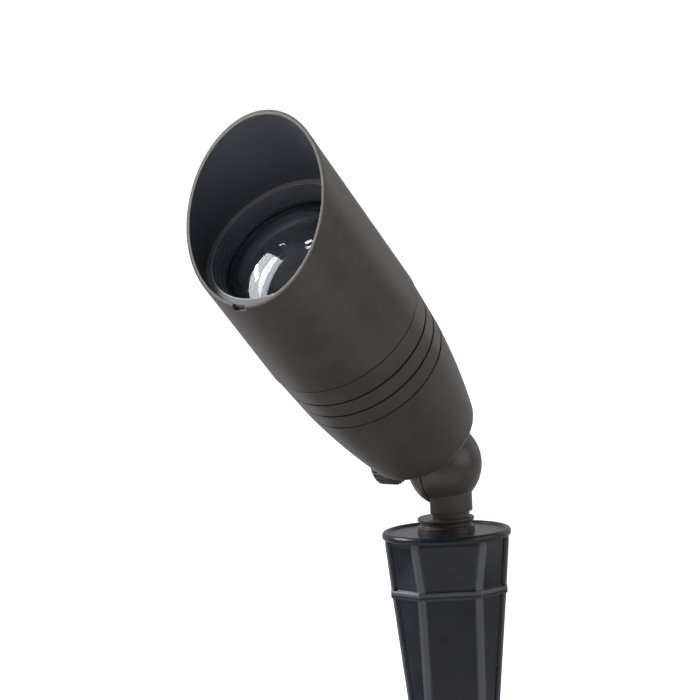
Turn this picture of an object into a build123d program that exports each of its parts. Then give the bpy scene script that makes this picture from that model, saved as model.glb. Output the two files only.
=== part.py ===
from build123d import *
from math import cos, radians, sin, sqrt, tan
import os

os.makedirs("parts", exist_ok=True)

# Units are millimetres and degrees. The stake's axis is Z, and Z = 0 is the underside of its
# flange, where the soil comes to. The lamp heads along -Y and is tipped up by rest_tilt.
rest_tilt = 44.0
stake_heading = 37.5

# Shared clearances and overruns
running_gap = 0.09
seat_gap = 0.05
body_gap = 0.3
overrun = 2.0

# Knuckle: two flattened half balls on one cross bolt
ball_radius = 15.6
stem_half_depth = 13.8
head_half_depth = 12.2
knuckle_washer_thickness = 0.6
knuckle_washer_width = 4.4
knuckle_washer_inset = 0.6
neck_radius = 10.2
collar_drop = 17.6
relief_radius = 9.0
relief_height = 2.3
stud_radius = 3.0
stud_engagement = 9.0
bolt_boss_radius = 5.2
wire_chamber_radius = 9.0
wire_chamber_depth = 7.2
wireway_radius = 2.6
wireway_offset = 4.3

# Thumb knob, coaxial with the bolt
knob_radius = 8.7
knob_end = 28.4
knob_head_length = 7.2
knob_shank_radius = 5.0
knob_edge_break = 0.9
knob_dish_radius = 5.8
knob_dish_depth = 0.7
knob_flutes = 30
knob_flute_radius = 0.5
knob_washer_thickness = 1.0
knob_washer_radius = 6.9

# Stem: collar, and the half-inch pipe thread drawn at its crest radius
thread_radius = 10.65
thread_root_radius = 9.6
turn_edge_break = 0.35
turn_groove_width = 1.3
turn_groove_flank = 0.45
turn_groove_drop = 2.3
pivot_height = 27.4
stem_foot_depth = 17.0
stem_foot_bevel = 1.2
gland_bore_radius = 6.2
gland_depth = 8.0
gland_cord_radius = 3.3
gland_flange_radius = 8.0
gland_flange_thickness = 1.5

# Stake flange
flange_radius = 24.2
flange_thickness = 2.8
flange_rim_round = 1.25
flange_foot_round = 0.85
flange_lip_width = 2.3
flange_dish_depth = 0.8
flange_lip_round = 0.7

# Stake body: half width, rib place and half depth at each level, from the flange to the tip
stake_root_depth = 2.3
stake_collar_depth = 19.4
stake_collar_height = 2.7
stake_collar_margin = 0.25
stake_waist_depth = 61.0
stake_shank_depth = 138.0
stake_length = 203.0
rib_width = 2.1
rib_height = 0.9
fin_rib_share = 0.6
fin_half_thickness = 1.3
top_half_width = 23.2
top_rib_place = 11.3
top_half_depth = 16.0
collar_half_width = 21.6
collar_rib_place = 9.3
collar_half_depth = 11.8
waist_half_width = 17.4
waist_rib_place = 8.7
waist_half_depth = 10.9
shank_half_width = 10.9
shank_rib_place = 6.6
shank_half_depth = 7.4
tip_half_width = 1.9
tip_rib_place = 0.4
tip_half_depth = 1.5
tip_rib_share = 0.36
wire_pocket_radius = 8.5
wire_pocket_depth = 36.0
cable_slot_width = 10.0
cable_slot_height = 9.5

# Body housing, from its tail to the glare hood's lower edge
tail_gap = 0.4
tail_radius = 21.0
tail_round = 5.0
body_length = 64.7
body_front_radius = 29.7
ogive_length = 43.0
ogive_mid_radius = 25.6
ogive_front_radius = 28.5
groove_steps = (8.0, 6.9, 6.8)
groove_width = 0.9
groove_depth = 0.9
spigot_length = 30.8
spigot_bevel = 1.0
engine_bore_radius = 25.2
engine_bore_length = 27.5
cavity_radius = 24.0
cavity_taper_length = 20.0
sleeve_pocket_radius = 20.0
sleeve_pocket_length = 7.0
nut_pocket_radius = 14.6
nut_pocket_length = 8.0
tail_wall = 6.4

# Head knuckle's flange and spigot in the tail
knuckle_flange_radius = 11.5
knuckle_flange_thickness = 2.0
tail_gasket_thickness = 1.1
tail_gasket_width = 3.4
knuckle_spigot_radius = 7.2
tail_nut_flats = 19.0
tail_nut_thickness = 4.5

# Glare hood, its seal, and the lens with its ring
hood_radius = 30.0
hood_wall = 1.4
hood_skirt_wall = 2.4
hood_short_side = 46.3
hood_cut_angle = 29.5
hood_foot_gap = 0.3
hood_foot_bevel = 0.35
drain_width = 5.4
drain_depth = 1.2
drain_turn = 5.3
seal_section_radius = 0.61
seal_groove_width = 2.0
seal_groove_depth = 1.3
seal_place = 17.0
lens_seat_thickness = 2.0
lens_seat_radius = 24.8
lens_gasket_thickness = 1.0
lens_gasket_inner_radius = 25.2
lens_flange_thickness = 4.0
lens_dome_radius = 22.6
lens_dome_step = 0.6
lens_dome_rise = 6.2
lens_hollow_radius = 19.5
lens_hollow_rise = 5.6
ring_height = 7.0
ring_band_width = 2.6
ring_steps = 4
ring_step_drop = 0.6

# Light engine on its heat spreader
spreader_thickness = 6.0
spreader_screw_circle = 20.6
boss_radius = 3.1
boss_length = 13.0
spreader_screw_radius = 1.5
spreader_screw_length = 10.0
screw_head_radius = 2.7
screw_head_height = 1.7
led_board_radius = 18.0
led_board_thickness = 1.6
board_screw_circle = 15.0
board_screw_length = 5.0
board_screw_turn = 30.0
emitter_base = 11.0
emitter_base_thickness = 0.8
emitter_dome_radius = 4.2
emitter_dome_height = 0.7
optic_front_radius = 12.2
optic_foot_radius = 5.6
optic_length = 9.0
optic_lip_width = 1.0
optic_lip_thickness = 1.2
holder_foot_radius = 10.6
holder_foot_height = 2.6
holder_wall = 1.4
holder_length = 18.0
holder_rim_radius = 24.4
holder_rim_height = 2.2
holder_steps = 6
engine_wire_place = 6.0
engine_wire_hole_radius = 2.8

# Driver in its insulating sleeve, and the leads
sleeve_wall = 1.2
sleeve_length_share = 0.887
driver_board_thickness = 1.6
driver_board_share = 0.944
capacitor_radius = 5.0
capacitor_share = 0.41
inductor_radius = 6.0
inductor_height = 7.0
bridge_width = 8.0
bridge_length = 6.5
bridge_height = 2.4
resistor_radius = 1.2
resistor_length = 6.3
parts_pitch_share = 0.309
lead_radius = 0.9
lead_spacing = 2.4
lead_end_reach = 6.2

# Directions and planes of the head
tilt = radians(rest_tilt)
pivot = Vector(0, 0, pivot_height)
lamp_dir = Vector(0, -cos(tilt), sin(tilt))
top_dir = Vector(0, sin(tilt), cos(tilt))
lamp_axis = Axis(pivot, lamp_dir)
head_section = Plane(origin=pivot, x_dir=(1, 0, 0), z_dir=-top_dir)
bolt_section = Plane(origin=pivot, x_dir=(1, 0, 0), z_dir=(0, -1, 0))
bolt_axis = Axis(pivot, (1, 0, 0))
stake_frame = Plane(origin=(0, 0, 0), x_dir=(1, 0, 0), z_dir=(0, 0, 1)).rotated((0, 0, stake_heading))
half_washer = knuckle_washer_thickness / 2
wireway_mouth = (bolt_boss_radius + wire_chamber_radius) / 2


def head_plane(distance):
    """Plane square to the lamp's axis, a distance in front of the pivot, with y to the top side."""
    return Plane(origin=pivot + lamp_dir * distance, x_dir=(1, 0, 0), z_dir=lamp_dir)


def bolt_plane(distance):
    """Plane square to the cross bolt, a distance from the pivot towards the knob."""
    return Plane(origin=pivot - Vector(1, 0, 0) * distance, x_dir=(0, 1, 0), z_dir=(-1, 0, 0))


def level(height):
    """Level plane at a height on the stake's axis."""
    return Plane(origin=(0, 0, height), x_dir=(1, 0, 0), z_dir=(0, 0, 1))


def stake_level(depth):
    """Level plane below the flange, turned to the stake's own heading."""
    return stake_frame.offset(-depth)


def dome_point(edge_radius, base, rise, share):
    """Point of a spherical cap, a share of the way out from its axis to its edge."""
    sphere = (edge_radius**2 + rise**2) / (2 * rise)
    out = edge_radius * share
    return (out, base + rise - sphere + sqrt(sphere**2 - out**2))


def stake_outline(half_width, rib_place, half_depth, width, height):
    """Outline of the stake at one level: two fins, four flat panels a side and four ribs."""
    panel = half_depth - height
    corner = Vector(rib_place + width, half_depth)
    fin = Vector(half_width, fin_half_thickness * min(1, half_depth / tip_half_depth / 2))
    side = (corner - fin).normalized()
    frame = fin + side * width * fin_rib_share
    recess = frame + Vector(-side.Y, side.X) * height
    foot = corner - side * width * fin_rib_share + Vector(-side.Y, side.X) * height
    quarter = [
        (fin.X, fin.Y),
        (frame.X, frame.Y),
        (recess.X, recess.Y),
        (foot.X, foot.Y),
        (corner.X - side.X * width * fin_rib_share, corner.Y - side.Y * width * fin_rib_share),
        (corner.X, corner.Y),
        (rib_place, half_depth),
        (rib_place, panel),
    ]
    left = [(-x, y) for x, y in reversed(quarter)]
    back_left = [(-x, -y) for x, y in quarter]
    back_right = [(x, -y) for x, y in reversed(quarter)]
    return quarter + left + back_left + back_right


# Places along the lamp's axis, from the pivot
tail_face = ball_radius + tail_gap
hood_foot = tail_face + body_length
ogive_front = tail_face + ogive_length
spigot_front = hood_foot + spigot_length
spigot_radius = hood_radius - hood_skirt_wall - running_gap
counterbore_floor = tail_face + knuckle_flange_thickness + tail_gasket_thickness
nut_seat = tail_face + tail_wall
sleeve_seat = nut_seat + nut_pocket_length
pocket_front = sleeve_seat + sleeve_pocket_length
cavity_front = pocket_front + cavity_taper_length
spreader_seat = spigot_front - engine_bore_length
spreader_front = spreader_seat + spreader_thickness
led_front = spreader_front + led_board_thickness
lens_seat_front = spigot_front + overrun + lens_seat_thickness
lens_back = lens_seat_front + lens_gasket_thickness
lens_flange_front = lens_back + lens_flange_thickness
ring_front = lens_flange_front + ring_height
rim_low = hood_foot + hood_short_side
rim_middle = rim_low + hood_radius * tan(radians(hood_cut_angle))
rim_high = rim_middle + hood_radius * tan(radians(hood_cut_angle))
hood_bore = hood_radius - hood_wall
skirt_bore = hood_radius - hood_skirt_wall

# Glare hood: a tube cut off at a slant, with the lens seat and the seal's groove inside
cut_normal = lamp_dir * cos(radians(hood_cut_angle)) - top_dir * sin(radians(hood_cut_angle))
cut_plane = Plane(origin=pivot + lamp_dir * rim_middle, x_dir=(1, 0, 0), z_dir=cut_normal)
with BuildPart() as hood:
    with BuildSketch(head_section):
        with BuildLine():
            Polyline(
                (skirt_bore, hood_foot + hood_foot_gap),
                (hood_radius - hood_foot_bevel, hood_foot + hood_foot_gap),
                (hood_radius, hood_foot + hood_foot_gap + hood_foot_bevel),
                (hood_radius, rim_high + overrun),
                (hood_bore, rim_high + overrun),
                (hood_bore, lens_seat_front),
                (lens_seat_radius, lens_seat_front),
                (lens_seat_radius, lens_seat_front - lens_seat_thickness),
                (skirt_bore, lens_seat_front - lens_seat_thickness),
                close=True,
            )
        make_face()
    revolve(axis=lamp_axis)
    split(bisect_by=cut_plane, keep=Keep.BOTTOM)
    with BuildSketch(head_section):
        with Locations((skirt_bore, hood_foot + seal_place)):
            Rectangle(2 * seal_groove_depth, seal_groove_width)
    revolve(axis=lamp_axis, mode=Mode.SUBTRACT)
    with BuildSketch(head_plane(rim_low - drain_depth).rotated((0, 0, -drain_turn))):
        with Locations((0, -hood_radius)):
            Rectangle(drain_width, 4 * hood_wall)
    extrude(amount=2 * drain_depth + hood_wall, mode=Mode.SUBTRACT)
hood.part.label = "hood"
export_step(hood.part, "parts/hood.step")

# O-ring in the hood's skirt, which the hood turns and slides on
seal_centre = spigot_radius + running_gap + seal_section_radius
with BuildPart() as hood_oring:
    with BuildSketch(head_section):
        with Locations((seal_centre, hood_foot + seal_place)):
            Circle(seal_section_radius)
    revolve(axis=lamp_axis)
hood_oring.part.label = "hood_oring"
export_step(hood_oring.part, "parts/hood_oring.step")

# Flat gasket between the lens seat and the lens
with BuildPart() as lens_gasket:
    with BuildSketch(head_plane(lens_seat_front)):
        Circle(hood_bore - body_gap)
        Circle(lens_gasket_inner_radius, mode=Mode.SUBTRACT)
    extrude(amount=lens_gasket_thickness)
lens_gasket.part.label = "lens_gasket"
export_step(lens_gasket.part, "parts/lens_gasket.step")

# Pressed glass lens: flat flange, domed front, hollowed back
dome_base = lens_flange_front + lens_dome_step
with BuildPart() as lens:
    with BuildSketch(head_section):
        with BuildLine():
            ThreePointArc(
                (0, lens_back + lens_hollow_rise),
                dome_point(lens_hollow_radius, lens_back, lens_hollow_rise, 0.5),
                (lens_hollow_radius, lens_back),
            )
            Polyline(
                (lens_hollow_radius, lens_back),
                (hood_bore - body_gap, lens_back),
                (hood_bore - body_gap, lens_flange_front),
                (lens_dome_radius, lens_flange_front),
                (lens_dome_radius, dome_base),
            )
            ThreePointArc(
                (lens_dome_radius, dome_base),
                dome_point(lens_dome_radius, dome_base, lens_dome_rise, 0.5),
                (0, dome_base + lens_dome_rise),
            )
            Line((0, dome_base + lens_dome_rise), (0, lens_back + lens_hollow_rise))
        make_face()
    revolve(axis=lamp_axis)
lens.part.label = "lens"
export_step(lens.part, "parts/lens.step")

# Retaining ring screwed into the hood: a flat band, then steps going in to the lens
ring_radius = hood_bore - seat_gap
ring_step = ring_height / ring_steps
ring_inner = [(ring_radius - ring_band_width, ring_front)]
for step in range(ring_steps):
    out = ring_radius - ring_band_width - step * ring_step_drop
    back = ring_front - (step + 1) * ring_step
    ring_inner += [(out, back), (out - ring_step_drop, back)]
with BuildPart() as lens_ring:
    with BuildSketch(head_section):
        with BuildLine():
            Polyline(
                (ring_radius, ring_front),
                *ring_inner[:-1],
                (ring_radius, lens_flange_front),
                close=True,
            )
        make_face()
    revolve(axis=lamp_axis)
lens_ring.part.label = "lens_ring"
export_step(lens_ring.part, "parts/lens_ring.step")

# Body housing: an ogive casting with three cooling grooves and a spigot for the hood
with BuildPart() as body_housing:
    with BuildSketch(head_section):
        with BuildLine():
            Line((knuckle_spigot_radius + seat_gap, tail_face), (tail_radius, tail_face))
            ThreePointArc(
                (tail_radius, tail_face),
                (ogive_mid_radius, tail_face + ogive_length / 2),
                (ogive_front_radius, ogive_front),
            )
            Polyline(
                (ogive_front_radius, ogive_front),
                (body_front_radius, hood_foot),
                (spigot_radius, hood_foot),
                (spigot_radius, spigot_front - spigot_bevel),
                (spigot_radius - spigot_bevel, spigot_front),
                (engine_bore_radius, spigot_front),
                (engine_bore_radius, spreader_seat),
                (cavity_radius, spreader_seat),
                (cavity_radius, cavity_front),
                (sleeve_pocket_radius, pocket_front),
                (sleeve_pocket_radius, sleeve_seat),
                (nut_pocket_radius, sleeve_seat),
                (nut_pocket_radius, nut_seat),
                (knuckle_spigot_radius + seat_gap, nut_seat),
                (knuckle_spigot_radius + seat_gap, tail_face),
            )
        make_face()
    revolve(axis=lamp_axis)
    tail_edge = body_housing.edges().filter_by(GeomType.CIRCLE).sort_by(lambda e: abs(e.radius - tail_radius))[0]
    fillet(tail_edge, tail_round)
    with BuildSketch(head_plane(tail_face)):
        Circle(knuckle_flange_radius + seat_gap)
    extrude(amount=counterbore_floor - tail_face, mode=Mode.SUBTRACT)
    groove_at = hood_foot
    for groove_step in groove_steps:
        groove_at -= groove_step
        with BuildSketch(head_section):
            with Locations((body_front_radius, groove_at)):
                Rectangle(4 * groove_depth, groove_width)
            with Locations((0, groove_at)):
                outer = ogive_front_radius + (body_front_radius - ogive_front_radius) * (
                    groove_at - ogive_front
                ) / (hood_foot - ogive_front)
                Rectangle(2 * (outer - groove_depth), 2 * groove_width, mode=Mode.SUBTRACT)
        revolve(axis=lamp_axis, mode=Mode.SUBTRACT)
    with BuildSketch(head_plane(spreader_seat - boss_length)):
        with PolarLocations(spreader_screw_circle, 3):
            Circle(boss_radius)
        with PolarLocations(cavity_radius, 3):
            Rectangle(2 * boss_radius, 2 * boss_radius)
    extrude(amount=boss_length)
    with BuildSketch(head_plane(spreader_seat - spreader_screw_length + spreader_thickness)):
        with PolarLocations(spreader_screw_circle, 3):
            Circle(spreader_screw_radius + seat_gap)
    extrude(amount=spreader_screw_length, mode=Mode.SUBTRACT)
body_housing.part.label = "body_housing"
export_step(body_housing.part, "parts/body_housing.step")

# Heat spreader: a turned disc against the housing's shoulder
with BuildPart() as heat_spreader:
    with BuildSketch(head_plane(spreader_seat)):
        Circle(engine_bore_radius - seat_gap)
        with PolarLocations(spreader_screw_circle, 3):
            Circle(spreader_screw_radius + seat_gap, mode=Mode.SUBTRACT)
        with PolarLocations(board_screw_circle, 2, start_angle=board_screw_turn):
            Circle(spreader_screw_radius + seat_gap, mode=Mode.SUBTRACT)
        with Locations((engine_wire_place, 0)):
            Circle(engine_wire_hole_radius, mode=Mode.SUBTRACT)
    extrude(amount=spreader_thickness)
heat_spreader.part.label = "heat_spreader"
export_step(heat_spreader.part, "parts/heat_spreader.step")

# Three screws that hold the spreader on the housing's bosses
with BuildPart() as spreader_screws:
    with BuildSketch(head_plane(spreader_front)):
        with PolarLocations(spreader_screw_circle, 3):
            Circle(screw_head_radius)
    extrude(amount=screw_head_height)
    with BuildSketch(head_plane(spreader_front)):
        with PolarLocations(spreader_screw_circle, 3):
            Circle(spreader_screw_radius)
    extrude(amount=-spreader_screw_length)
spreader_screws.part.label = "spreader_screws"
export_step(spreader_screws.part, "parts/spreader_screws.step")

# Round metal-core board under the emitter
with BuildPart() as led_board:
    with BuildSketch(head_plane(spreader_front)):
        Circle(led_board_radius)
        with PolarLocations(board_screw_circle, 2, start_angle=board_screw_turn):
            Circle(spreader_screw_radius + seat_gap, mode=Mode.SUBTRACT)
        with PolarLocations(spreader_screw_circle, 3):
            Circle(screw_head_radius + body_gap, mode=Mode.SUBTRACT)
    extrude(amount=led_board_thickness)
led_board.part.label = "led_board"
export_step(led_board.part, "parts/led_board.step")

# Two screws that hold the board on the spreader
with BuildPart() as board_screws:
    with BuildSketch(head_plane(led_front)):
        with PolarLocations(board_screw_circle, 2, start_angle=board_screw_turn):
            Circle(screw_head_radius)
    extrude(amount=screw_head_height)
    with BuildSketch(head_plane(led_front)):
        with PolarLocations(board_screw_circle, 2, start_angle=board_screw_turn):
            Circle(spreader_screw_radius)
    extrude(amount=-board_screw_length)
board_screws.part.label = "board_screws"
export_step(board_screws.part, "parts/board_screws.step")

# Emitter: a square base with the round phosphor field on it
with BuildPart() as led_emitter:
    with BuildSketch(head_plane(led_front)):
        Rectangle(emitter_base, emitter_base)
    extrude(amount=emitter_base_thickness)
    with BuildSketch(head_plane(led_front + emitter_base_thickness)):
        Circle(emitter_dome_radius)
    extrude(amount=emitter_dome_height)
led_emitter.part.label = "led_emitter"
export_step(led_emitter.part, "parts/led_emitter.step")

# Clear collimator: a bowl-shaped optic with a lip that the holder carries
optic_foot = led_front + emitter_base_thickness + emitter_dome_height + seat_gap
optic_front = optic_foot + optic_length
with BuildPart() as optic:
    with BuildSketch(head_section):
        with BuildLine():
            Line((0, optic_foot), (optic_foot_radius, optic_foot))
            ThreePointArc(
                (optic_foot_radius, optic_foot),
                (
                    optic_foot_radius + (optic_front_radius - optic_foot_radius) * 0.62,
                    optic_foot + (optic_length - optic_lip_thickness) / 2,
                ),
                (optic_front_radius, optic_front - optic_lip_thickness),
            )
            Polyline(
                (optic_front_radius, optic_front - optic_lip_thickness),
                (optic_front_radius + optic_lip_width, optic_front - optic_lip_thickness),
                (optic_front_radius + optic_lip_width, optic_front),
                (0, optic_front),
                (0, optic_foot),
            )
        make_face()
    revolve(axis=lamp_axis)
optic.part.label = "optic"
export_step(optic.part, "parts/optic.step")

# Black optic holder: a foot on the board, a ledge for the optic and a stepped flare to the spigot
holder_front = led_front + holder_length
ledge = optic_front - optic_lip_thickness
ledge_radius = optic_front_radius + optic_lip_width + seat_gap
flare_pitch = (holder_front - optic_front) / holder_steps
flare_drop = (holder_rim_radius - holder_wall - ledge_radius) / holder_steps
flare = []
for step in range(holder_steps):
    out = ledge_radius + step * flare_drop
    front = optic_front + step * flare_pitch
    flare += [(out, front), (out + flare_drop, front)]
flare[0] = (ledge_radius, ledge)
flare.insert(1, (ledge_radius, optic_front))
with BuildPart() as optic_holder:
    with BuildSketch(head_section):
        with BuildLine():
            Polyline(
                (optic_front_radius + seat_gap, ledge),
                *flare,
                (holder_rim_radius - holder_wall, holder_front),
                (holder_rim_radius, holder_front),
                (holder_rim_radius, holder_front - holder_rim_height),
                (ledge_radius + holder_wall, ledge),
                (holder_foot_radius + holder_wall, led_front + holder_foot_height),
                (holder_foot_radius, led_front),
                (holder_foot_radius - holder_wall, led_front),
                (holder_foot_radius - holder_wall, led_front + holder_foot_height),
                (optic_front_radius + seat_gap, ledge - optic_lip_thickness),
                close=True,
            )
        make_face()
    revolve(axis=lamp_axis)
optic_holder.part.label = "optic_holder"
export_step(optic_holder.part, "parts/optic_holder.step")

# Insulating sleeve round the driver
sleeve_radius = sleeve_pocket_radius - 2 * running_gap
sleeve_length = (spreader_seat - boss_length - sleeve_seat) * sleeve_length_share
with BuildPart() as driver_sleeve:
    with BuildSketch(head_plane(sleeve_seat)):
        Circle(sleeve_radius)
        Circle(sleeve_radius - sleeve_wall, mode=Mode.SUBTRACT)
    extrude(amount=sleeve_length)
driver_sleeve.part.label = "driver_sleeve"
export_step(driver_sleeve.part, "parts/driver_sleeve.step")

# Driver board along the axis, its long edges running in the sleeve
board_half_width = sleeve_radius - sleeve_wall - body_gap
board_middle = sleeve_seat + sleeve_length / 2
driver_board_length = sleeve_length * driver_board_share
driver_plane = Plane(origin=pivot + lamp_dir * board_middle, x_dir=(1, 0, 0), z_dir=top_dir)
with BuildPart() as driver_board:
    with BuildSketch(driver_plane.offset(-driver_board_thickness / 2)):
        Rectangle(2 * board_half_width, driver_board_length)
    extrude(amount=driver_board_thickness)
driver_board.part.label = "driver_board"
export_step(driver_board.part, "parts/driver_board.step")

# Parts on the driver board: capacitor, inductor, bridge and two resistors
board_top = driver_plane.offset(driver_board_thickness / 2)
board_under = Plane(origin=driver_plane.origin, x_dir=(1, 0, 0), z_dir=-top_dir).offset(driver_board_thickness / 2)
parts_pitch = driver_board_length * parts_pitch_share
capacitor_length = driver_board_length * capacitor_share
can_start = board_middle - parts_pitch / 2 - capacitor_length / 2
can_centre = driver_board_thickness / 2 + capacitor_radius
with BuildPart() as driver_parts:
    with BuildSketch(board_top):
        with Locations((0, parts_pitch)):
            Circle(inductor_radius)
    extrude(amount=inductor_height)
    with BuildSketch(board_top):
        with Locations((0, -parts_pitch / 2)):
            Rectangle(2 * capacitor_radius, capacitor_length)
    extrude(amount=capacitor_radius)
    with BuildSketch(head_plane(can_start)):
        with Locations((0, can_centre)):
            Circle(capacitor_radius)
    extrude(amount=capacitor_length)
    with BuildSketch(board_under):
        with Locations((0, parts_pitch)):
            Rectangle(bridge_width, bridge_length)
        with GridLocations(parts_pitch, parts_pitch / 2, 2, 1):
            Rectangle(2 * resistor_radius, resistor_length)
    extrude(amount=bridge_height)
driver_parts.part.label = "driver_parts"
export_step(driver_parts.part, "parts/driver_parts.step")

# Leads inside the head: the supply pair from the knuckle, and the pair up to the emitter's board
board_rear = board_middle - driver_board_length / 2
board_fore = board_middle + driver_board_length / 2
with BuildPart() as head_leads:
    with BuildSketch(head_plane(lead_end_reach)):
        with Locations((-wireway_offset, lead_spacing / 2), (-wireway_offset, -lead_spacing / 2)):
            Circle(lead_radius)
    extrude(amount=board_rear - lead_end_reach)
    with BuildSketch(head_plane(board_fore)):
        with Locations((engine_wire_place, lead_spacing / 2), (engine_wire_place, -lead_spacing / 2)):
            Circle(lead_radius)
    extrude(amount=spreader_front - board_fore)
head_leads.part.label = "head_leads"
export_step(head_leads.part, "parts/head_leads.step")

# Head knuckle: the knob-side half ball, its neck, and the flange and spigot in the tail
seat_share = (knob_washer_radius + seat_gap) / ball_radius
ball_seat = head_half_depth * sqrt(1 - seat_share**2)
with BuildPart() as head_knuckle:
    with BuildSketch(bolt_section):
        Ellipse(head_half_depth, ball_radius)
        Rectangle(head_half_depth, ball_radius, align=(Align.MAX, Align.MIN), mode=Mode.INTERSECT)
    revolve(axis=bolt_axis)
    with BuildSketch(head_plane(0)):
        Circle(neck_radius)
    extrude(amount=tail_face)
    split(bisect_by=bolt_plane(half_washer), keep=Keep.TOP)
    split(bisect_by=bolt_plane(ball_seat), keep=Keep.BOTTOM)
    with BuildSketch(head_plane(tail_face)):
        Circle(knuckle_flange_radius)
    extrude(amount=knuckle_flange_thickness)
    with BuildSketch(head_plane(tail_face + knuckle_flange_thickness)):
        Circle(knuckle_spigot_radius)
    extrude(amount=nut_seat + tail_nut_thickness - tail_face - knuckle_flange_thickness)
    with BuildSketch(bolt_plane(half_washer)):
        Circle(wire_chamber_radius)
        Circle(bolt_boss_radius, mode=Mode.SUBTRACT)
    extrude(amount=wire_chamber_depth, mode=Mode.SUBTRACT)
    with BuildSketch(head_plane(wireway_mouth)):
        with Locations((-wireway_offset, 0)):
            Circle(wireway_radius)
    extrude(amount=nut_seat + tail_nut_thickness, mode=Mode.SUBTRACT)
    with BuildSketch(bolt_plane(0)):
        Circle(stud_radius + running_gap)
    extrude(amount=ball_radius, mode=Mode.SUBTRACT)
head_knuckle.part.label = "head_knuckle"
export_step(head_knuckle.part, "parts/head_knuckle.step")

# Flat gasket under the knuckle's flange
with BuildPart() as tail_gasket:
    with BuildSketch(head_plane(tail_face + knuckle_flange_thickness)):
        Circle(knuckle_spigot_radius + seat_gap + tail_gasket_width)
        Circle(knuckle_spigot_radius + seat_gap, mode=Mode.SUBTRACT)
    extrude(amount=tail_gasket_thickness)
tail_gasket.part.label = "tail_gasket"
export_step(tail_gasket.part, "parts/tail_gasket.step")

# Hexagon nut on the spigot, inside the tail
with BuildPart() as tail_nut:
    with BuildSketch(head_plane(nut_seat)):
        RegularPolygon(tail_nut_flats / 2, 6, major_radius=False)
        Circle(knuckle_spigot_radius + seat_gap, mode=Mode.SUBTRACT)
    extrude(amount=tail_nut_thickness)
tail_nut.part.label = "tail_nut"
export_step(tail_nut.part, "parts/tail_nut.step")

# Friction washer between the two half balls
washer_outer = ball_radius - knuckle_washer_inset
with BuildPart() as friction_washer:
    with BuildSketch(bolt_plane(-half_washer)):
        Circle(washer_outer)
        Circle(washer_outer - knuckle_washer_width, mode=Mode.SUBTRACT)
    extrude(amount=knuckle_washer_thickness)
friction_washer.part.label = "friction_washer"
export_step(friction_washer.part, "parts/friction_washer.step")

# Stem: the far half ball, the D-shaped neck and relief, and the stub that screws into the stake
stub_top = pivot_height - collar_drop - relief_height
groove_mid = stub_top - turn_groove_drop
stem_section = Plane(origin=(0, 0, 0), x_dir=(1, 0, 0), z_dir=(0, -1, 0))
with BuildPart() as stem_knuckle:
    with BuildSketch(bolt_section):
        Ellipse(stem_half_depth, ball_radius)
        Rectangle(stem_half_depth, ball_radius, align=(Align.MIN, Align.MIN), mode=Mode.INTERSECT)
    revolve(axis=bolt_axis)
    with BuildSketch(level(pivot_height)):
        Circle(neck_radius)
    extrude(amount=-collar_drop)
    with BuildSketch(level(stub_top)):
        Circle(relief_radius)
    extrude(amount=relief_height)
    split(bisect_by=bolt_plane(-half_washer), keep=Keep.BOTTOM)
    with BuildSketch(stem_section):
        with BuildLine():
            Polyline(
                (0, stub_top),
                (thread_radius - turn_edge_break, stub_top),
                (thread_radius, stub_top - turn_edge_break),
                (thread_radius, groove_mid + turn_groove_width / 2 + turn_groove_flank),
                (thread_root_radius, groove_mid + turn_groove_width / 2),
                (thread_root_radius, groove_mid - turn_groove_width / 2),
                (thread_radius, groove_mid - turn_groove_width / 2 - turn_groove_flank),
                (thread_radius, stem_foot_bevel - stem_foot_depth),
                (thread_radius - stem_foot_bevel, -stem_foot_depth),
                (0, -stem_foot_depth),
                close=True,
            )
        make_face()
    revolve(axis=Axis.Z)
    with BuildSketch(bolt_plane(-half_washer)):
        Circle(wire_chamber_radius)
        Circle(bolt_boss_radius, mode=Mode.SUBTRACT)
    extrude(amount=-wire_chamber_depth, mode=Mode.SUBTRACT)
    with BuildSketch(level(pivot_height - wireway_mouth)):
        with Locations((wireway_offset, 0)):
            Circle(wireway_radius)
    extrude(amount=-(pivot_height + stem_foot_depth), mode=Mode.SUBTRACT)
    with BuildSketch(level(-stem_foot_depth)):
        Circle(gland_bore_radius)
    extrude(amount=gland_depth, mode=Mode.SUBTRACT)
    with BuildSketch(bolt_plane(0)):
        Circle(stud_radius + running_gap)
    extrude(amount=-(half_washer + stud_engagement + body_gap), mode=Mode.SUBTRACT)
stem_knuckle.part.label = "stem_knuckle"
export_step(stem_knuckle.part, "parts/stem_knuckle.step")

# Leads through the stem, from the knuckle's chamber to the gland
with BuildPart() as stem_leads:
    with BuildSketch(level(gland_depth - stem_foot_depth)):
        with Locations((wireway_offset, lead_spacing / 2), (wireway_offset, -lead_spacing / 2)):
            Circle(lead_radius)
    extrude(amount=pivot_height - lead_end_reach - gland_depth + stem_foot_depth)
stem_leads.part.label = "stem_leads"
export_step(stem_leads.part, "parts/stem_leads.step")

# Rubber gland in the foot of the stem, where the supply cord goes in
with BuildPart() as cord_gland:
    with BuildSketch(level(-stem_foot_depth - gland_flange_thickness)):
        Circle(gland_flange_radius)
    extrude(amount=gland_flange_thickness)
    with BuildSketch(level(-stem_foot_depth)):
        Circle(gland_bore_radius - seat_gap)
    extrude(amount=gland_depth)
    with BuildSketch(level(-stem_foot_depth - gland_flange_thickness)):
        Circle(gland_cord_radius)
    extrude(amount=gland_depth + gland_flange_thickness, mode=Mode.SUBTRACT)
cord_gland.part.label = "cord_gland"
export_step(cord_gland.part, "parts/cord_gland.step")

# Steel stud of the thumb knob: the pivot pin of the knuckle
knob_foot = ball_seat + knob_washer_thickness
with BuildPart() as knob_stud:
    with BuildSketch(bolt_plane(-half_washer - stud_engagement)):
        Circle(stud_radius)
    extrude(amount=half_washer + stud_engagement + knob_end - knob_head_length)
knob_stud.part.label = "knob_stud"
export_step(knob_stud.part, "parts/knob_stud.step")

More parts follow.
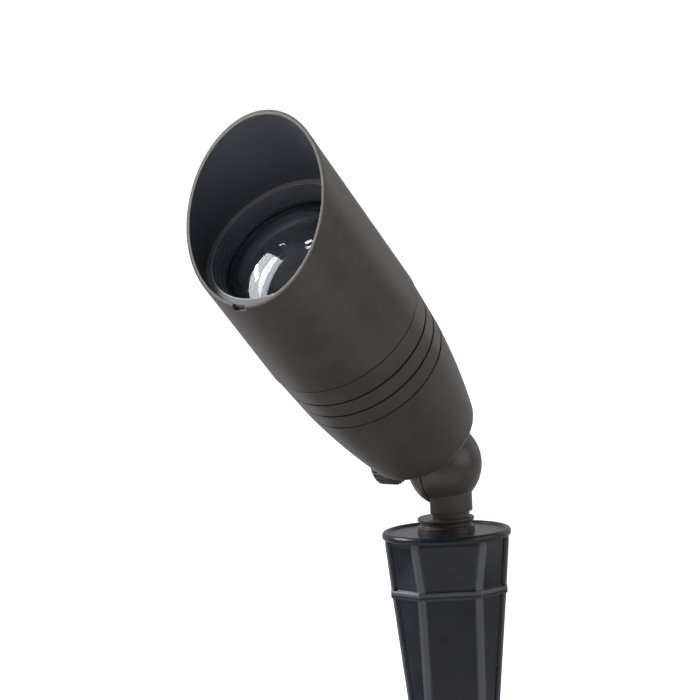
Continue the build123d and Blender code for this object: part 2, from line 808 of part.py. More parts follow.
# Washer under the knob
with BuildPart() as knob_washer:
    with BuildSketch(bolt_plane(ball_seat)):
        Circle(knob_washer_radius)
        Circle(stud_radius + body_gap, mode=Mode.SUBTRACT)
    extrude(amount=knob_washer_thickness)
knob_washer.part.label = "knob_washer"
export_step(knob_washer.part, "parts/knob_washer.step")

# Fluted thumb knob on the stud
knob_head_foot = knob_end - knob_head_length
with BuildPart() as tilt_knob:
    with BuildSketch(bolt_plane(knob_foot)):
        Circle(knob_shank_radius)
    extrude(amount=knob_head_foot - knob_foot)
    with BuildSketch(bolt_plane(knob_head_foot)):
        Circle(knob_radius)
    extrude(amount=knob_head_length)
    chamfer(tilt_knob.edges().filter_by(GeomType.CIRCLE).sort_by(Axis.X)[0], knob_edge_break)
    with BuildSketch(bolt_plane(knob_end - knob_dish_depth)):
        Circle(knob_dish_radius)
    extrude(amount=overrun, mode=Mode.SUBTRACT)
    with BuildSketch(bolt_plane(knob_head_foot - overrun)):
        with PolarLocations(knob_radius, knob_flutes):
            Circle(knob_flute_radius)
    extrude(amount=knob_head_length + 2 * overrun, mode=Mode.SUBTRACT)
    with BuildSketch(bolt_plane(knob_foot)):
        Circle(stud_radius)
    extrude(amount=knob_head_foot - knob_foot, mode=Mode.SUBTRACT)
tilt_knob.part.label = "tilt_knob"
export_step(tilt_knob.part, "parts/tilt_knob.step")

# Ground stake: round flange, ribbed upper body, six-sided collar, ribbed shank and point
upper_body = (
    (0, top_half_width, top_rib_place, top_half_depth, rib_width, rib_height),
    (stake_root_depth, top_half_width, top_rib_place, top_half_depth, rib_width, rib_height),
    (stake_collar_depth, collar_half_width, collar_rib_place, collar_half_depth, rib_width, rib_height),
)
lower_body = (
    (
        stake_collar_depth + stake_collar_height,
        collar_half_width - stake_collar_margin,
        collar_rib_place,
        collar_half_depth - stake_collar_margin,
        rib_width,
        rib_height,
    ),
    (stake_waist_depth, waist_half_width, waist_rib_place, waist_half_depth, rib_width, rib_height),
    (stake_shank_depth, shank_half_width, shank_rib_place, shank_half_depth, rib_width, rib_height),
    (
        stake_length,
        tip_half_width,
        tip_rib_place,
        tip_half_depth,
        rib_width * tip_rib_share,
        rib_height * tip_rib_share,
    ),
)
with BuildPart() as stake:
    for sections in (upper_body, lower_body):
        for upper, lower in zip(sections, sections[1:]):
            for depth, half_width, rib_place, half_depth, width, height in (upper, lower):
                with BuildSketch(stake_level(depth)):
                    with BuildLine():
                        Polyline(*stake_outline(half_width, rib_place, half_depth, width, height), close=True)
                    make_face()
            loft(ruled=True)
    with BuildSketch(stake_level(stake_collar_depth + stake_collar_height)):
        with BuildLine():
            Polyline(
                (collar_half_width + stake_collar_margin, fin_half_thickness + stake_collar_margin),
                (collar_rib_place + rib_width + stake_collar_margin, collar_half_depth + stake_collar_margin),
                (-collar_rib_place - rib_width - stake_collar_margin, collar_half_depth + stake_collar_margin),
                (-collar_half_width - stake_collar_margin, fin_half_thickness + stake_collar_margin),
                (-collar_half_width - stake_collar_margin, -fin_half_thickness - stake_collar_margin),
                (-collar_rib_place - rib_width - stake_collar_margin, -collar_half_depth - stake_collar_margin),
                (collar_rib_place + rib_width + stake_collar_margin, -collar_half_depth - stake_collar_margin),
                (collar_half_width + stake_collar_margin, -fin_half_thickness - stake_collar_margin),
                close=True,
            )
        make_face()
    extrude(amount=stake_collar_height)
    with BuildSketch(level(0)):
        Circle(flange_radius)
    extrude(amount=flange_thickness)
    rim_edges = stake.edges().filter_by(GeomType.CIRCLE).sort_by(lambda e: abs(e.radius - flange_radius))[0:2]
    fillet(rim_edges.sort_by(Axis.Z)[-1], flange_rim_round)
    foot_edges = stake.edges().filter_by(GeomType.CIRCLE).sort_by(lambda e: abs(e.radius - flange_radius))
    fillet(foot_edges.sort_by(lambda e: abs(e.radius - flange_radius) + abs(e.center().Z))[0], flange_foot_round)
    with BuildSketch(level(flange_thickness - flange_dish_depth)):
        Circle(flange_radius - flange_lip_width)
    extrude(amount=flange_dish_depth, mode=Mode.SUBTRACT)
    lip_edges = stake.edges().filter_by(GeomType.CIRCLE).filter_by(
        lambda e: abs(e.radius - flange_radius + flange_lip_width) < seat_gap
    )
    fillet(lip_edges.sort_by(Axis.Z)[-1], flange_lip_round)
    with BuildSketch(level(flange_thickness)):
        Circle(thread_radius + running_gap)
    extrude(amount=-(flange_thickness + stem_foot_depth + body_gap), mode=Mode.SUBTRACT)
    with BuildSketch(level(-stem_foot_depth)):
        Circle(wire_pocket_radius)
    extrude(amount=stem_foot_depth - wire_pocket_depth, mode=Mode.SUBTRACT)
    with BuildSketch(stake_level(wire_pocket_depth)):
        with Locations((0, collar_half_depth / 2 + collar_half_depth)):
            Rectangle(cable_slot_width, 3 * collar_half_depth)
    extrude(amount=cable_slot_height, mode=Mode.SUBTRACT)
stake.part.label = "stake"
export_step(stake.part, "parts/stake.step")
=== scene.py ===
"""Dresses the outdoor spotlight: the finishes of its sub-assemblies, the studio and the camera."""

import logging
import math
from dataclasses import dataclass, field
from enum import Enum
from typing import Sequence

import bmesh
import bpy
from mathutils import Matrix, Quaternion, Vector

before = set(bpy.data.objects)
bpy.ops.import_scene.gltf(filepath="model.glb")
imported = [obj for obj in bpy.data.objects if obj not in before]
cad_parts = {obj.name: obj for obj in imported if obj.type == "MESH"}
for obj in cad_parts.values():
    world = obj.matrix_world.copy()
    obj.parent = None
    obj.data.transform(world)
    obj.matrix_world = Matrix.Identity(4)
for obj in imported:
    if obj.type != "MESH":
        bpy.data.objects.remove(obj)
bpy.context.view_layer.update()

LOG = logging.getLogger("spotlight")
MM = 0.001
Colour = tuple[float, float, float]
WHITE = (1.0, 1.0, 1.0, 1.0)

# Places of the CAD that the finishes are set to, in metres
PIVOT = Vector((0.0, 0.0, 27.4 * MM))
REST_TILT = math.radians(44.0)
LAMP_DIR = Vector((0.0, -math.cos(REST_TILT), math.sin(REST_TILT)))
TOP_DIR = Vector((0.0, math.sin(REST_TILT), math.cos(REST_TILT)))
SIDE_DIR = Vector((1.0, 0.0, 0.0))


def facing(azimuth: float, elevation: float) -> Vector:
    """Direction from the lamp at an azimuth and an elevation, both in radians."""
    level = math.cos(elevation)
    return Vector((math.sin(azimuth) * level, -math.cos(azimuth) * level, math.sin(elevation)))


def along(distance: float) -> Vector:
    """Point on the lamp's axis, a distance in front of the pivot."""
    return PIVOT + LAMP_DIR * distance


class Surface(Enum):
    """How a finish is textured."""

    POWDER = "powder"
    MOULDED = "moulded"
    TURNED = "turned"
    PLATED = "plated"
    RUBBER = "rubber"
    BOARD = "board"
    GRANULAR = "granular"


class Axis(Enum):
    """Which axis a turned or round surface is measured from."""

    LAMP = "lamp"
    BOLT = "bolt"
    STEM = "stem"


AXES: dict[Axis, tuple[Vector, Vector]] = {
    Axis.LAMP: (PIVOT, LAMP_DIR),
    Axis.BOLT: (PIVOT, SIDE_DIR),
    Axis.STEM: (Vector((0.0, 0.0, 0.0)), Vector((0.0, 0.0, 1.0))),
}


class Graph:
    """Small writer of shader nodes, for a material or a group."""

    def __init__(self, tree: bpy.types.NodeTree) -> None:
        """Starts on a node tree.

        Args:
            tree: The tree that the nodes go in.
        """
        self.tree = tree

    def add(self, kind: str, sets: dict | None = None, **values: object) -> bpy.types.Node:
        """Adds a node.

        Args:
            kind: Blender's name of the node type.
            sets: Properties of the node itself.
            values: Input sockets by name: a number, a tuple or another socket.

        Returns:
            The new node.
        """
        node = self.tree.nodes.new(kind)
        for key, value in (sets or {}).items():
            setattr(node, key, value)
        for key, value in values.items():
            self.put(node.inputs[key], value)
        return node

    def put(self, socket: bpy.types.NodeSocket, value: object) -> None:
        """Sets a socket to a value, or links it to another socket.

        Args:
            socket: The socket to feed.
            value: A number, a tuple or another socket.
        """
        if isinstance(value, bpy.types.NodeSocket):
            self.tree.links.new(value, socket)
        else:
            socket.default_value = value

    def math(self, operation: str, *values: object) -> bpy.types.NodeSocket:
        """Adds a Math node.

        Args:
            operation: The node's operation.
            values: Its inputs in order.

        Returns:
            The result's socket.
        """
        node = self.add("ShaderNodeMath", {"operation": operation})
        for socket, value in zip(node.inputs, values):
            self.put(socket, value)
        return node.outputs[0]

    def vector(self, operation: str, *values: object, out: int = 0) -> bpy.types.NodeSocket:
        """Adds a Vector Math node.

        Args:
            operation: The node's operation.
            values: Its inputs in order.
            out: Which output is wanted: 0 for the vector, 1 for the number.

        Returns:
            The result's socket.
        """
        node = self.add("ShaderNodeVectorMath", {"operation": operation})
        for socket, value in zip(node.inputs, values):
            self.put(socket, value)
        return node.outputs[out]

    def mix(self, share: object, first: object, second: object) -> bpy.types.NodeSocket:
        """Blends two colours.

        Args:
            share: How much of the second colour shows.
            first: A colour or socket.
            second: A colour or socket.

        Returns:
            The blended colour's socket.
        """
        node = self.add("ShaderNodeMix", {"data_type": "RGBA"})
        self.put(node.inputs[0], share)
        self.put(node.inputs[6], first)
        self.put(node.inputs[7], second)
        return node.outputs[2]

    def blend(self, share: object, first: object, second: object) -> bpy.types.NodeSocket:
        """Blends two numbers.

        Args:
            share: How much of the second number shows.
            first: A number or socket.
            second: A number or socket.

        Returns:
            The blended number's socket.
        """
        node = self.add("ShaderNodeMix", {"data_type": "FLOAT"})
        self.put(node.inputs[0], share)
        self.put(node.inputs[2], first)
        self.put(node.inputs[3], second)
        return node.outputs[0]

    def band(self, value: object, low: object, high: object) -> bpy.types.NodeSocket:
        """Smooth ramp from 0 at low to 1 at high, held outside them.

        Args:
            value: The number that the ramp follows.
            low: Where the ramp starts.
            high: Where the ramp ends.

        Returns:
            The ramp's socket.
        """
        node = self.add("ShaderNodeMapRange", {"interpolation_type": "SMOOTHSTEP"})
        for name, number in (("Value", value), ("From Min", low), ("From Max", high)):
            self.put(node.inputs[name], number)
        return node.outputs[0]


NUMBER = "NodeSocketFloat"
DIRECTION = "NodeSocketVector"


def new_group(
    name: str, takes: Sequence[tuple[str, float]], gives: Sequence[tuple[str, str]]
) -> tuple[bpy.types.NodeTree, Graph, bpy.types.Node, bpy.types.Node]:
    """Makes an empty shader node group with named sockets.

    Args:
        name: The group's name.
        takes: Inputs as name and default; all are numbers.
        gives: Outputs as name and socket type.

    Returns:
        The tree, a writer on it, its input node and its output node.
    """
    tree = bpy.data.node_groups.new(name, "ShaderNodeTree")
    for label, start in takes:
        socket = tree.interface.new_socket(name=label, in_out="INPUT", socket_type=NUMBER)
        socket.default_value = start
    for label, kind in gives:
        tree.interface.new_socket(name=label, in_out="OUTPUT", socket_type=kind)
    graph = Graph(tree)
    return tree, graph, graph.add("NodeGroupInput"), graph.add("NodeGroupOutput")


@dataclass
class Effects:
    """Shared shader effects, each a group that is built once."""

    made: dict[str, bpy.types.NodeTree] = field(default_factory=dict)
    bevel_samples: int = 6
    least_bend: float = 0.004
    highlight_and_rub_gaps: tuple[float, float] = (0.3, 0.6)
    dust_slope: tuple[float, float] = (0.2, 1.0)
    dust_cloud: float = 140.0
    dust_gaps: tuple[float, float] = (0.35, 0.75)

    def grain(self) -> bpy.types.NodeTree:
        """Fine grain of a coat or moulding: a height, and a slow change of tone.

        Returns:
            The group.
        """
        if "grain" not in self.made:
            tree, graph, takes, gives = new_group(
                "surface_grain",
                (("Size", 1000.0), ("Slow", 60.0)),
                (("Height", NUMBER), ("Tone", NUMBER)),
            )
            place = graph.add("ShaderNodeTexCoord").outputs["Object"]
            fast, slow = takes.outputs["Size"], takes.outputs["Slow"]
            fine = graph.add("ShaderNodeTexNoise", Vector=place, Scale=fast, Detail=3.0, Roughness=0.6)
            broad = graph.add("ShaderNodeTexNoise", Vector=place, Scale=slow, Detail=4.0, Roughness=0.55)
            graph.put(gives.inputs["Height"], fine.outputs[0])
            graph.put(gives.inputs["Tone"], broad.outputs[0])
            self.made["grain"] = tree
        return self.made["grain"]

    def edge(self) -> bpy.types.NodeTree:
        """Softened edges: a rounded normal, and a mask of the edges, for rubbed paint and for painted
        highlights.

        Returns:
            The group.
        """
        if "edge" not in self.made:
            tree, graph, takes, gives = new_group(
                "edge_highlight_and_rub",
                (("Spread", 900.0), ("Radius", 0.45 * MM), ("Breaks", 1.0), ("Full", 0.12)),
                (("Mask", NUMBER), ("Normal", DIRECTION)),
            )
            radius, spread = takes.outputs["Radius"], takes.outputs["Spread"]
            bevel = graph.add("ShaderNodeBevel", {"samples": self.bevel_samples}, Radius=radius)
            flat = graph.add("ShaderNodeNewGeometry").outputs["Normal"]
            same = graph.vector("DOT_PRODUCT", bevel.outputs[0], flat, out=1)
            bend = graph.math("SUBTRACT", 1.0, same)
            place = graph.add("ShaderNodeTexCoord").outputs["Object"]
            breaks = graph.add("ShaderNodeTexNoise", Vector=place, Scale=spread, Detail=2.0)
            gaps = graph.band(breaks.outputs[0], *self.highlight_and_rub_gaps)
            whole = graph.blend(takes.outputs["Breaks"], 1.0, gaps)
            bent = graph.band(bend, self.least_bend, takes.outputs["Full"])
            graph.put(gives.inputs["Mask"], graph.math("MULTIPLY", bent, whole))
            graph.put(gives.inputs["Normal"], bevel.outputs[0])
            self.made["edge"] = tree
        return self.made["edge"]

    def dust(self) -> bpy.types.NodeTree:
        """A thin film of dust on faces that look up.

        Returns:
            The group.
        """
        if "dust" not in self.made:
            tree, graph, takes, gives = new_group(
                "settled_dust",
                (("Amount", 0.1),),
                (("Mask", NUMBER),),
            )
            normal = graph.add("ShaderNodeNewGeometry").outputs["Normal"]
            rise = graph.vector("DOT_PRODUCT", normal, (0.0, 0.0, 1.0), out=1)
            upward = graph.band(rise, *self.dust_slope)
            place = graph.add("ShaderNodeTexCoord").outputs["Object"]
            cloud = graph.add(
                "ShaderNodeTexNoise", Vector=place, Scale=self.dust_cloud, Detail=5.0, Roughness=0.7
            )
            film = graph.math("MULTIPLY", upward, graph.band(cloud.outputs[0], *self.dust_gaps))
            graph.put(gives.inputs["Mask"], graph.math("MULTIPLY", film, takes.outputs["Amount"]))
            self.made["dust"] = tree
        return self.made["dust"]

    def round_place(self, axis: Axis) -> bpy.types.NodeTree:
        """Place on a round piece: distance from its axis, distance along it, both in millimetres.

        Args:
            axis: The axis to measure from.

        Returns:
            The group.
        """
        key = "round_" + axis.value
        if key not in self.made:
            tree, graph, _, gives = new_group(
                "place_from_" + axis.value, (), (("Radius", NUMBER), ("Along", NUMBER))
            )
            start, way = AXES[axis]
            place = graph.add("ShaderNodeTexCoord").outputs["Object"]
            reach = graph.vector("SUBTRACT", place, tuple(start))
            ahead = graph.vector("DOT_PRODUCT", reach, tuple(way), out=1)
            out = graph.vector("LENGTH", graph.vector("CROSS_PRODUCT", reach, tuple(way)), out=1)
            graph.put(gives.inputs["Radius"], graph.math("DIVIDE", out, MM))
            graph.put(gives.inputs["Along"], graph.math("DIVIDE", ahead, MM))
            self.made[key] = tree
        return self.made[key]


EFFECTS = Effects()


@dataclass(frozen=True)
class Marks:
    """Sizes and strengths of the marks on the finishes; waves are in radians per millimetre."""

    tone_size: float = 70.0
    tone_edges: tuple[float, float] = (0.3, 0.7)
    rough_spread: float = 0.05
    dust_colour: Colour = (0.32, 0.3, 0.27)
    turning_waves: float = 24.0
    turning_depth: float = 0.35
    plating_waves: float = 9.0
    plating_rough: float = 0.12
    flow_waves: float = 0.35
    flow_rough: float = 0.015
    rubber_rough: float = 0.1
    track_waves: float = 3.6
    track_edges: tuple[float, float] = (0.75, 0.85)
    track_gain: float = 1.7
    track_lift: float = 0.01
    granule_size: float = 2600.0
    granule_edges: tuple[float, float] = (0.1, 0.8)


MARKS = Marks()


@dataclass
class Skin:
    """Colour, roughness and height of a surface while its material is put together."""

    colour: object
    rough: object
    height: object


@dataclass(frozen=True)
class Finish:
    """One finish: its colours, gloss and texture, in scene-linear values."""

    name: str
    surface: Surface
    colour: Colour
    shade: Colour
    roughness: float
    metallic: float = 0.0
    grain_size: float = 1000.0
    grain_depth: float = 0.03 * MM
    # Paler edges: partly rubbed paint, partly a painted highlight.
    highlight_and_rub_amount: float = 0.0
    highlight_and_rub_colour: Colour = (0.3, 0.28, 0.26)
    highlight_and_rub_breaks: float = 1.0
    highlight_and_rub_full: float = 0.12
    edge_radius: float = 0.45 * MM
    dust: float = 0.0
    specular: float = 0.5
    axis: Axis = Axis.LAMP

    def build(self) -> bpy.types.Material:
        """Makes the material.

        Returns:
            The finished material.
        """
        material = bpy.data.materials.new(self.name)
        material.use_nodes = True
        graph = Graph(material.node_tree)
        shader = material.node_tree.nodes["Principled BSDF"]
        grain = self._group(graph, EFFECTS.grain(), Size=self.grain_size, Slow=MARKS.tone_size)
        tone = grain.outputs["Tone"]
        patchy = graph.band(tone, *MARKS.tone_edges)
        skin = Skin(
            graph.mix(patchy, (*self.shade, 1.0), (*self.colour, 1.0)),
            graph.blend(tone, self.roughness - MARKS.rough_spread, self.roughness + MARKS.rough_spread),
            grain.outputs["Height"],
        )
        self._texture(graph, self._group(graph, EFFECTS.round_place(self.axis)), skin)
        edge = self._group(
            graph, EFFECTS.edge(), Spread=self.grain_size, Radius=self.edge_radius,
            Breaks=self.highlight_and_rub_breaks, Full=self.highlight_and_rub_full,
        )
        # Edges made paler: partly rubbed paint, partly a painted highlight where the rounded edge would
        # catch light.
        if self.highlight_and_rub_amount:
            highlight_and_rub = graph.math("MULTIPLY", edge.outputs["Mask"], self.highlight_and_rub_amount)
            skin.colour = graph.mix(highlight_and_rub, skin.colour, (*self.highlight_and_rub_colour, 1.0))
        if self.dust:
            film = self._group(graph, EFFECTS.dust(), Amount=self.dust)
            skin.colour = graph.mix(film.outputs["Mask"], skin.colour, (*MARKS.dust_colour, 1.0))
        bump = graph.add(
            "ShaderNodeBump", Strength=1.0, Distance=self.grain_depth, Height=skin.height,
            Normal=edge.outputs["Normal"],
        )
        graph.put(shader.inputs["Base Color"], skin.colour)
        graph.put(shader.inputs["Roughness"], skin.rough)
        graph.put(shader.inputs["Normal"], bump.outputs[0])
        shader.inputs["Metallic"].default_value = self.metallic
        shader.inputs["Specular IOR Level"].default_value = self.specular
        return material

    def _group(self, graph: Graph, tree: bpy.types.NodeTree, **values: float) -> bpy.types.Node:
        """Places a shared group in this material.

        Args:
            graph: The writer on the material.
            tree: The group.
            values: The group's inputs by name.

        Returns:
            The group's node.
        """
        return graph.add("ShaderNodeGroup", {"node_tree": tree}, **values)

    def _texture(self, graph: Graph, place: bpy.types.Node, skin: Skin) -> None:
        """Adds to the skin what sets this surface apart from a plain grained one.

        Args:
            graph: The writer on the material.
            place: The group that gives radius and distance on the piece.
            skin: What the surface has so far.
        """
        radius, ahead = place.outputs["Radius"], place.outputs["Along"]
        if self.surface is Surface.TURNED:
            ring = graph.math("SINE", graph.math("MULTIPLY", radius, MARKS.turning_waves))
            groove = graph.math("MULTIPLY", ring, MARKS.turning_depth)
            skin.height = graph.math("ADD", groove, skin.height)
        elif self.surface is Surface.PLATED:
            wave = graph.math("MULTIPLY", ahead, MARKS.plating_waves)
            scratch = graph.math("SINE", graph.math("ADD", wave, skin.height))
            dullest = self.roughness + MARKS.plating_rough
            skin.rough = graph.blend(graph.math("ABSOLUTE", scratch), self.roughness, dullest)
        elif self.surface is Surface.MOULDED:
            flow = graph.math("SINE", graph.math("MULTIPLY", ahead, MARKS.flow_waves))
            skin.rough = graph.math("ADD", skin.rough, graph.math("MULTIPLY", flow, MARKS.flow_rough))
        elif self.surface is Surface.RUBBER:
            dull = graph.math("MULTIPLY", skin.height, MARKS.rubber_rough)
            skin.rough = graph.math("ADD", skin.rough, dull)
        elif self.surface is Surface.BOARD:
            wave = graph.math("SINE", graph.math("MULTIPLY", radius, MARKS.track_waves))
            track = graph.band(wave, *MARKS.track_edges)
            lit = tuple(min(1.0, part * MARKS.track_gain + MARKS.track_lift) for part in self.colour)
            skin.colour = graph.mix(track, skin.colour, (*lit, 1.0))
            skin.height = graph.math("ADD", skin.height, track)
        elif self.surface is Surface.GRANULAR:
            here = graph.add("ShaderNodeTexCoord").outputs["Object"]
            cells = graph.add("ShaderNodeTexVoronoi", Vector=here, Scale=MARKS.granule_size)
            apart = graph.band(cells.outputs[0], *MARKS.granule_edges)
            skin.colour = graph.mix(apart, skin.colour, (*self.shade, 1.0))
            skin.height = cells.outputs[0]


@dataclass(frozen=True, kw_only=True)
class CoatFinish(Finish):
    """Powder coat of the hood: brown outside, a painted bluish shade in its bore, paler where the rim
    was cut.
    """

    shape: "GlareHood"
    bore_shade_colour: Colour = (0.088, 0.094, 0.115)
    rim_colour: Colour = (0.055, 0.046, 0.038)
    lip_colour: Colour = (0.16, 0.136, 0.108)

    def _texture(self, graph: Graph, place: bpy.types.Node, skin: Skin) -> None:
        """Adds the bore's painted shade and the pale rim, by the place on the hood.

        Args:
            graph: The writer on the material.
            place: The group that gives radius and distance on the piece.
            skin: What the surface has so far.
        """
        shape = self.shape
        radius, ahead = place.outputs["Radius"], place.outputs["Along"]
        # Painted shade: the bore is the same bronze coat, given a bluish grey colour for the shade
        # inside the hood.
        past = graph.math("GREATER_THAN", ahead, shape.bore_start)
        in_bore_shade = graph.math("MULTIPLY", graph.math("LESS_THAN", radius, shape.bore_radius), past)
        skin.colour = graph.mix(in_bore_shade, skin.colour, (*self.bore_shade_colour, 1.0))
        rim_normal = LAMP_DIR * math.cos(shape.cut_angle) - TOP_DIR * math.sin(shape.cut_angle)
        here = graph.add("ShaderNodeTexCoord").outputs["Object"]
        reach = graph.vector("SUBTRACT", here, tuple(along(shape.cut_centre * MM)))
        behind = graph.vector("DOT_PRODUCT", reach, tuple(rim_normal), out=1)
        rim = graph.math("GREATER_THAN", behind, -shape.rim_depth * MM)
        lip = graph.math("MULTIPLY", rim, graph.math("LESS_THAN", radius, shape.lip_radius))
        skin.colour = graph.mix(rim, skin.colour, (*self.rim_colour, 1.0))
        skin.colour = graph.mix(lip, skin.colour, (*self.lip_colour, 1.0))


@dataclass(frozen=True, kw_only=True)
class RingFinish(Finish):
    """Black turned ring whose flat front band is coated, with painted light on it that fades to painted
    shade at its foot, and a painted highlight line at its inner edge.
    """

    shape: "LensMount"
    # Painted light on the band, and painted shade at its foot.
    band_painted_light_colour: Colour = (0.62, 0.585, 0.565)
    band_painted_shade_colour: Colour = (0.27, 0.28, 0.31)
    # Painted highlight line at the band's inner edge.
    highlight_line_colour: Colour = (0.8, 0.77, 0.75)

    def _texture(self, graph: Graph, place: bpy.types.Node, skin: Skin) -> None:
        """Adds the coated band's painted light and shade, and its painted highlight line, by the place
        on the ring.

        Args:
            graph: The writer on the material.
            place: The group that gives radius and distance on the piece.
            skin: What the surface has so far.
        """
        super()._texture(graph, place, skin)
        shape = self.shape
        radius, ahead = place.outputs["Radius"], place.outputs["Along"]
        front = graph.math("GREATER_THAN", ahead, shape.band_start)
        band = graph.math("MULTIPLY", front, graph.math("GREATER_THAN", radius, shape.band_radius))
        # Painted highlight: a thin pale line along the band's inner edge.
        past = graph.math("GREATER_THAN", radius, shape.band_radius + shape.line_width)
        highlight_line = graph.math("SUBTRACT", band, graph.math("MULTIPLY", front, past))
        # Painted light and shade: the band is far paler than the hood's coat, lightest at the top and
        # fading to a bluish painted shade at the foot.
        here = graph.add("ShaderNodeTexCoord").outputs["Object"]
        reach = graph.vector("SUBTRACT", here, tuple(PIVOT))
        up = graph.vector("DOT_PRODUCT", reach, tuple(TOP_DIR), out=1)
        painted_light_share = graph.band(up, shape.painted_shade_foot * MM, shape.painted_light_top * MM)
        painted_band_light = graph.mix(painted_light_share, (*self.band_painted_shade_colour, 1.0), (*self.band_painted_light_colour, 1.0))
        skin.colour = graph.mix(band, skin.colour, painted_band_light)
        skin.colour = graph.mix(highlight_line, skin.colour, (*self.highlight_line_colour, 1.0))


@dataclass(frozen=True, kw_only=True)
class StakeFinish(Finish):
    """Black moulding with painted highlights on its ribs, its fins and the top of its collar, paler than
    its panels.
    """

    shape: "GroundStake"
    rib_highlight_colour: Colour = (0.12, 0.122, 0.142)
    rib_core: float = 0.75
    rib_fade: float = 1.65
    fin_fade: float = 0.3
    crest_rise: float = 0.3
    crest_core: float = 1.0
    crest_fade: float = 1.9

    def _profile(self, graph: Graph, depth: object, values: Sequence[float]) -> bpy.types.NodeSocket:
        """A size of the stake that changes in straight runs from level to level.

        Args:
            graph: The writer on the material.
            depth: Millimetres below the flange's underside.
            values: The size at each level.

        Returns:
            The size's socket.
        """
        levels = self.shape.levels
        total: object = values[0]
        for i in range(len(values) - 1):
            run = graph.add("ShaderNodeMapRange", {"interpolation_type": "LINEAR"})
            ends = (depth, levels[i], levels[i + 1], 0.0, values[i + 1] - values[i])
            for name, number in zip(("Value", "From Min", "From Max", "To Min", "To Max"), ends):
                graph.put(run.inputs[name], number)
            total = graph.math("ADD", total, run.outputs[0])
        return total

    def _texture(self, graph: Graph, place: bpy.types.Node, skin: Skin) -> None:
        """Adds the painted highlights on the ribs, fins and collar, by the place on the stake.

        Args:
            graph: The writer on the material.
            place: The group that gives radius and distance on the piece.
            skin: What the surface has so far.
        """
        super()._texture(graph, place, skin)
        shape = self.shape
        here = graph.add("ShaderNodeTexCoord").outputs["Object"]
        turn = math.radians(shape.heading)
        across = (math.cos(turn) / MM, math.sin(turn) / MM, 0.0)
        ahead = (-math.sin(turn) / MM, math.cos(turn) / MM, 0.0)
        side = graph.math("ABSOLUTE", graph.vector("DOT_PRODUCT", here, across, out=1))
        front = graph.math("ABSOLUTE", graph.vector("DOT_PRODUCT", here, ahead, out=1))
        depth = graph.vector("DOT_PRODUCT", here, (0.0, 0.0, -1.0 / MM), out=1)
        offset_side, offset_front = shape.rib_offset
        rib_side = graph.math("ADD", self._profile(graph, depth, shape.rib_places), offset_side)
        rib_front = graph.math("ADD", self._profile(graph, depth, shape.rib_depths), offset_front)
        off_side = graph.math("POWER", graph.math("SUBTRACT", side, rib_side), 2.0)
        off_front = graph.math("POWER", graph.math("SUBTRACT", front, rib_front), 2.0)
        away = graph.math("SQRT", graph.math("ADD", off_side, off_front))
        rib = graph.math("SUBTRACT", 1.0, graph.band(away, self.rib_core, self.rib_fade))
        reach = graph.math("SUBTRACT", side, self._profile(graph, depth, shape.fin_reaches))
        fin = graph.band(reach, -shape.fin_width - self.fin_fade, -shape.fin_width)
        top, foot = shape.collar
        rise = graph.band(depth, top - self.crest_rise, top)
        fall = graph.band(depth, top + self.crest_core, top + self.crest_fade)
        crest = graph.math("SUBTRACT", rise, fall)
        above_foot = graph.math("LESS_THAN", depth, foot)
        on_collar = graph.math("MULTIPLY", graph.math("GREATER_THAN", depth, top), above_foot)
        off_collar = graph.math("SUBTRACT", 1.0, on_collar)
        blades = graph.math("MULTIPLY", graph.math("MAXIMUM", rib, fin), off_collar)
        below = graph.math("GREATER_THAN", depth, 0.0)
        # Painted highlight: the ribs' faces, the fins' edges and the collar's top are made paler where
        # light would catch them.
        highlight_and_rub = graph.math("MULTIPLY", graph.math("MAXIMUM", blades, crest), below)
        skin.colour = graph.mix(highlight_and_rub, skin.colour, (*self.rib_highlight_colour, 1.0))


@dataclass(frozen=True)
class GlassFinish:
    """Clear glass or clear moulded optic."""

    name: str
    tint: Colour
    ior: float
    roughness: float
    clear: float = 1.0
    smear_size: float = 30.0
    smear_edges: tuple[float, float] = (0.45, 0.75)
    smear_colour: Colour = (0.95, 0.95, 0.96)
    smear_rough: float = 0.02

    def build(self) -> bpy.types.Material:
        """Makes the material, with a faint smear on its gloss.

        Returns:
            The finished material.
        """
        material = bpy.data.materials.new(self.name)
        material.use_nodes = True
        graph = Graph(material.node_tree)
        shader = material.node_tree.nodes["Principled BSDF"]
        grain = graph.add("ShaderNodeGroup", {"node_tree": EFFECTS.grain()}, Slow=self.smear_size)
        smear = graph.band(grain.outputs["Tone"], *self.smear_edges)
        rough = graph.blend(smear, self.roughness, self.roughness + self.smear_rough)
        graph.put(shader.inputs["Roughness"], rough)
        tint = graph.mix(smear, (*self.tint, 1.0), (*self.smear_colour, 1.0))
        graph.put(shader.inputs["Base Color"], tint)
        shader.inputs["Transmission Weight"].default_value = self.clear
        shader.inputs["IOR"].default_value = self.ior
        shader.inputs["Metallic"].default_value = 0.0
        return material


BRONZE = (0.066, 0.0565, 0.052)
BRONZE_SHADE = (0.053, 0.0455, 0.042)

COAT_PLAIN = Finish(
    "bronze_powder_coat_small", Surface.POWDER, BRONZE, BRONZE_SHADE, 0.34, grain_size=1500.0,
    grain_depth=0.035 * MM, highlight_and_rub_amount=0.3, highlight_and_rub_colour=(0.2, 0.19, 0.18), dust=0.05, specular=0.45,
)
HOLDER = Finish(
    "black_moulded_holder", Surface.MOULDED, (0.08, 0.088, 0.12), (0.062, 0.069, 0.096), 0.4,
    grain_size=1200.0, grain_depth=0.008 * MM,
)
RUBBER = Finish(
    "black_rubber", Surface.RUBBER, (0.02, 0.02, 0.021), (0.013, 0.013, 0.014), 0.75,
    grain_size=1400.0, grain_depth=0.02 * MM,
)
ALUMINIUM = Finish(
    "turned_aluminium", Surface.TURNED, (0.78, 0.78, 0.78), (0.68, 0.68, 0.69), 0.3, metallic=1.0,
    grain_size=2000.0, grain_depth=0.006 * MM,
)
